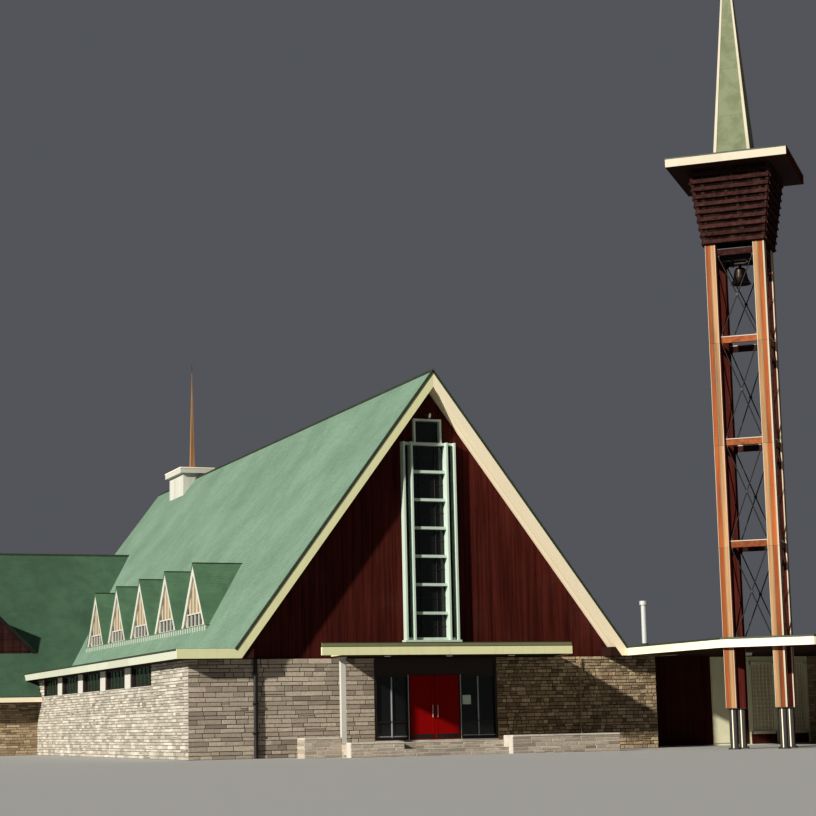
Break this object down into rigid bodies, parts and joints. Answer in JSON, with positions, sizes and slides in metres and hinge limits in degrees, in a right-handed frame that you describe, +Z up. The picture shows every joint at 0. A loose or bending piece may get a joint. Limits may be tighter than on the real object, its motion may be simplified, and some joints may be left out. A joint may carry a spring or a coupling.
{
  "type": "modern church building with bell tower, 1:2 scale model",
  "caption": "Steep gabled modern church with dormers, stone walls, tall gable window, red doors and a timber bell tower, as a 1:2 scale model.",
  "frame": {"origin": "on the ground, on the nave's centre line, in the plane of the entrance gable's rake boards", "axes": "+X to the right when facing the entrance, +Y back along the nave, +Z up"},
  "size_m": [17.55, 26.7324, 16],
  "materials": {
    "roof": "matt weathered green roofing",
    "wing_roof": "matt dark green roofing",
    "boards": "cream paint on boards",
    "siding": "red-brown stained vertical boards",
    "mint": "pale green paint",
    "glass": "clear glass",
    "concrete": "worn concrete and coursed stone",
    "stone": "rough coursed rubble stone",
    "frame": "dark brown paint",
    "door": "satin red paint",
    "cedar": "oiled cedar",
    "louvre": "dark brown stained boards",
    "steel": "dark paint on steel",
    "bell": "dark cast metal",
    "spire": "khaki green sheet metal",
    "panel": "grey-green painted panels",
    "vent": "white painted sheet metal"
  },
  "bodies": {
    "building": {"nave_roof_left": "roof", "nave_roof_right": "roof", "dormers_left": "boards", "dormers_right": "boards", "rake_boards_left": "boards", "rake_boards_right": "boards", "rake_boards_rear": "boards", "front_gable_left": "siding", "front_gable_right": "siding", "rear_gable": "siding", "gable_window_frame": "mint", "gable_window_glass": "glass", "floor": "concrete", "front_wall_left": "stone", "front_wall_right": "stone", "rear_wall": "stone", "side_wall_left": "stone", "side_wall_right": "stone", "side_glass_left": "glass", "side_glass_right": "glass", "eave_slab_left": "boards", "eave_slab_right": "boards", "entrance_frame": "frame", "sidelight_left": "glass", "sidelight_right": "glass", "entrance_canopy": "boards", "canopy_post": "boards", "entrance_platform": "concrete", "wing_roof": "wing_roof", "wing_dormer": "siding", "wing_front_wall": "stone", "wing_rear_wall": "stone", "wing_gable_wall": "stone", "ridge_lantern": "boards", "spirelet": "louvre", "tower_leg_left": "cedar", "tower_leg_near": "cedar", "tower_leg_right": "cedar", "tower_leg_rear": "cedar", "tower_bracing_front": "cedar", "tower_bracing_right": "cedar", "tower_bracing_back": "cedar", "tower_bracing_left": "cedar", "belfry_louvres": "louvre", "tower_roof": "boards", "tower_spire": "spire", "bell_beam": "steel", "link_roof": "boards", "link_wall": "panel", "link_glass": "glass", "link_end_wall": "stone", "vent_pipe": "vent"},
    "door_left": {"door_leaf_left": "door"},
    "door_right": {"door_leaf_right": "door"},
    "bell": {"bell": "bell"}
  },
  "joints": [
    {"name": "door_left_hinge", "type": "hinge", "parent": "building", "child": "door_left", "pos_m": [-0.463, 0.4125, 0.281], "axis": [0, 0, -1], "range_deg": [0, 90]},
    {"name": "door_right_hinge", "type": "hinge", "parent": "building", "child": "door_right", "pos_m": [0.543, 0.4125, 0.281], "axis": [0, 0, 1], "range_deg": [0, 90]},
    {"name": "bell_swing", "type": "hinge", "parent": "building", "child": "bell", "pos_m": [5.01, -3.51, 9.22], "axis": [0.7547, -0.6561, 0], "range_deg": [-30, 30]}
  ]
}
